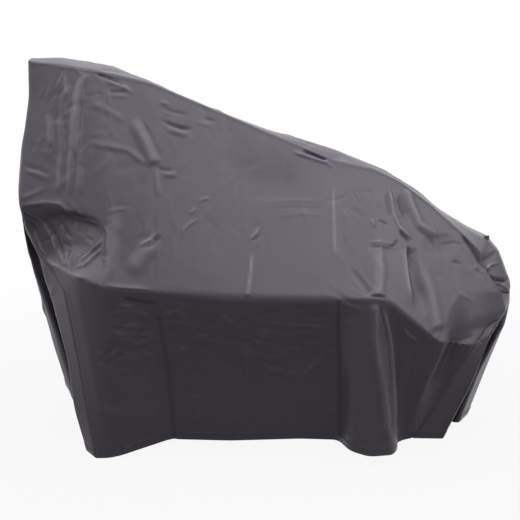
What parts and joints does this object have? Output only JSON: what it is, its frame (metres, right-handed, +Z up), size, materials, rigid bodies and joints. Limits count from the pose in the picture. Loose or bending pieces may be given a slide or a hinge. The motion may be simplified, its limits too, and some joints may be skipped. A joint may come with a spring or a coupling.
{
  "type": "fitted smoker cover",
  "caption": "Sewn dark cloth cover for an offset smoker: high over the stack end, sloping down to the fire box, open at the hem, with a pale strip along the top.",
  "frame": {"origin": "middle of the footprint, at the lowest point of the hem", "axes": "+X along the cover from the stack end to the fire box end, +Y from the front to the back, +Z up"},
  "size_m": [1.5128, 0.6863, 1.1331],
  "materials": {
    "panel_cloth": "coated plain weave, dull sheen",
    "strip_cloth": "coated plain weave, dull sheen"
  },
  "bodies": {
    "root": {"front_panel": "panel_cloth", "back_panel": "panel_cloth", "left_side_panel": "panel_cloth", "right_side_panel": "panel_cloth", "top_strip": "strip_cloth", "corner_seam_tab": "strip_cloth"}
  },
  "joints": []
}
